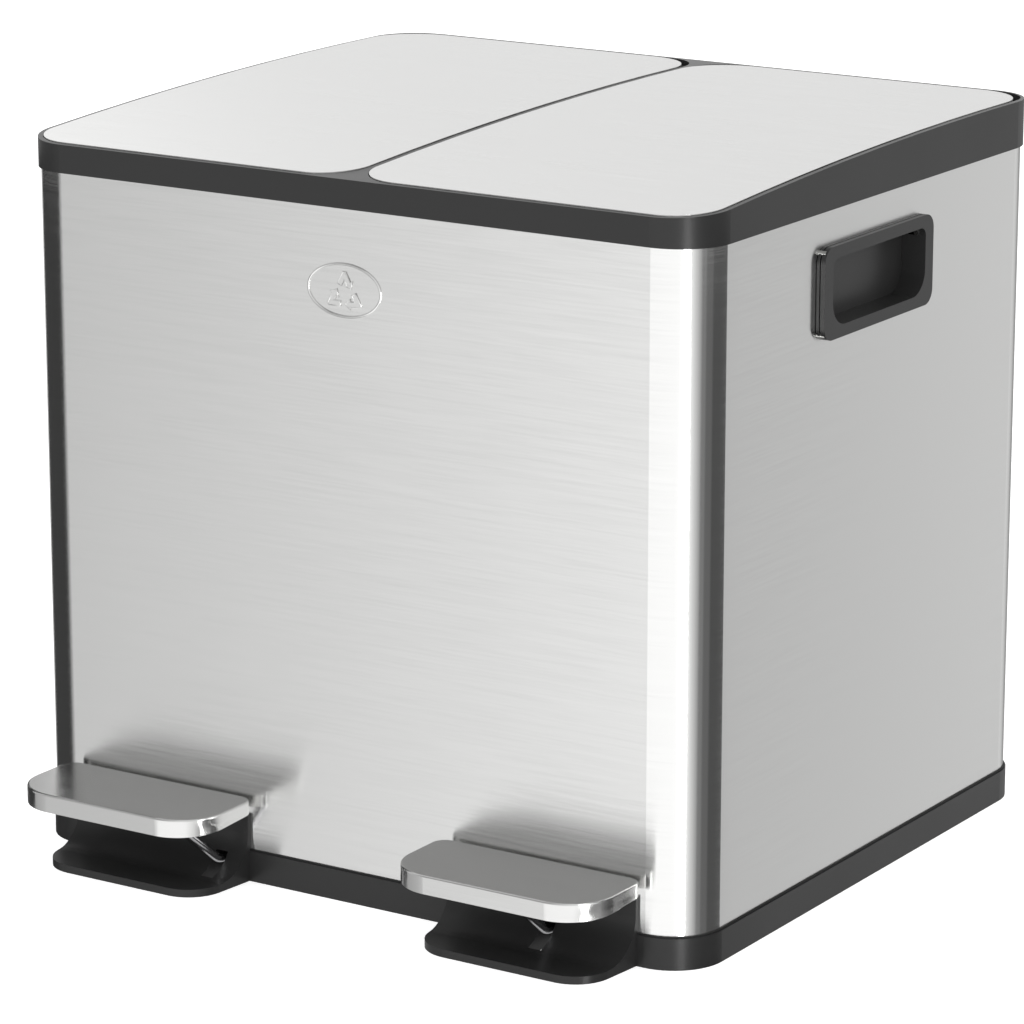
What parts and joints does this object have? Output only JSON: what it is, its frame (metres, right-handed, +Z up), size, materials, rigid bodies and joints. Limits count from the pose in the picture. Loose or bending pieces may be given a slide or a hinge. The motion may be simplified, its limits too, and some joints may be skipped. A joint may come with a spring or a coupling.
{
  "type": "double recycling bin",
  "caption": "Rectangular steel recycling bin with side-by-side arched lids, each opened by its own foot pedal, a lift-out bucket under each, and recessed side handles.",
  "frame": {"origin": "on the ground under the middle of the steel box", "axes": "+Z up, -Y towards the pedals and the person using it, +X to that person's right"},
  "size_m": [0.418, 0.4159, 0.3908],
  "materials": {
    "body_steel": "stainless sheet brushed along its length, with a pressed oval mark",
    "lid_steel": "fine brushed stainless sheet",
    "pedal_steel": "brushed top, polished rolled edge",
    "black_plastic": "moulded satin charcoal plastic",
    "inner_plastic": "moulded black plastic",
    "bucket_plastic": "moulded dark grey plastic",
    "wire_chrome": "bright plated wire",
    "zinc_steel": "pressed zinc-plated steel",
    "screw_steel": "zinc-plated fastener",
    "bumper_rubber": "soft black rubber"
  },
  "bodies": {
    "root": {"body_shell": "body_steel", "base_plinth": "black_plastic", "top_collar": "black_plastic", "bucket_stand": "inner_plastic", "lid_bumpers": "bumper_rubber", "handle_screws": "screw_steel", "bracket_screws": "screw_steel", "stand_screws": "screw_steel", "left_hinge_pins": "wire_chrome", "left_pivot_pin": "wire_chrome", "left_pivot_bracket": "zinc_steel", "left_rod_guide_low": "inner_plastic", "left_rod_guide_high": "inner_plastic", "left_inner_bucket": "bucket_plastic", "left_bucket_bail": "wire_chrome", "left_bail_grip": "inner_plastic", "left_handle_cup": "black_plastic", "left_handle_clamp": "zinc_steel", "right_hinge_pins": "wire_chrome", "right_pivot_pin": "wire_chrome", "right_pivot_bracket": "zinc_steel", "right_rod_guide_low": "inner_plastic", "right_rod_guide_high": "inner_plastic", "right_inner_bucket": "bucket_plastic", "right_bucket_bail": "wire_chrome", "right_bail_grip": "inner_plastic", "right_handle_cup": "black_plastic", "right_handle_clamp": "zinc_steel"},
    "left_lid": {"left_lid_skin": "lid_steel", "left_lid_tray": "black_plastic"},
    "left_rod": {"left_push_rod": "wire_chrome", "left_rod_shoe": "inner_plastic", "left_rod_clip": "screw_steel"},
    "left_pedal": {"left_pedal_pad": "pedal_steel", "left_pedal_core": "black_plastic", "left_pedal_lever": "wire_chrome"},
    "right_lid": {"right_lid_skin": "lid_steel", "right_lid_tray": "black_plastic"},
    "right_rod": {"right_push_rod": "wire_chrome", "right_rod_shoe": "inner_plastic", "right_rod_clip": "screw_steel"},
    "right_pedal": {"right_pedal_pad": "pedal_steel", "right_pedal_core": "black_plastic", "right_pedal_lever": "wire_chrome"}
  },
  "joints": [
    {"name": "left_lid_hinge", "type": "hinge", "parent": "root", "child": "left_lid", "pos_m": [-0.1027, 0.168, 0.3855], "axis": [-1, 0, 0], "range_deg": [0, 75]},
    {"name": "left_rod_slide", "type": "slide", "parent": "root", "child": "left_rod", "axis": [0, 0, 1], "range_m": [0, 0.0272]},
    {"name": "left_pedal_hinge", "type": "hinge", "parent": "root", "child": "left_pedal", "pos_m": [-0.078, -0.11, 0.018], "axis": [1, 0, 0], "range_deg": [0, 6]},
    {"name": "right_lid_hinge", "type": "hinge", "parent": "root", "child": "right_lid", "pos_m": [0.1027, 0.168, 0.3855], "axis": [-1, 0, 0], "range_deg": [0, 75]},
    {"name": "right_rod_slide", "type": "slide", "parent": "root", "child": "right_rod", "axis": [0, 0, 1], "range_m": [0, 0.0272]},
    {"name": "right_pedal_hinge", "type": "hinge", "parent": "root", "child": "right_pedal", "pos_m": [0.125, -0.11, 0.018], "axis": [1, 0, 0], "range_deg": [0, 6]}
  ],
  "couplings": [
    {"joint": "left_rod_slide", "follows": "left_lid_hinge", "m_per_rad": 0.0207},
    {"joint": "left_pedal_hinge", "follows": "left_lid_hinge", "ratio": 0.0799},
    {"joint": "right_rod_slide", "follows": "right_lid_hinge", "m_per_rad": 0.0207},
    {"joint": "right_pedal_hinge", "follows": "right_lid_hinge", "ratio": 0.0799}
  ]
}
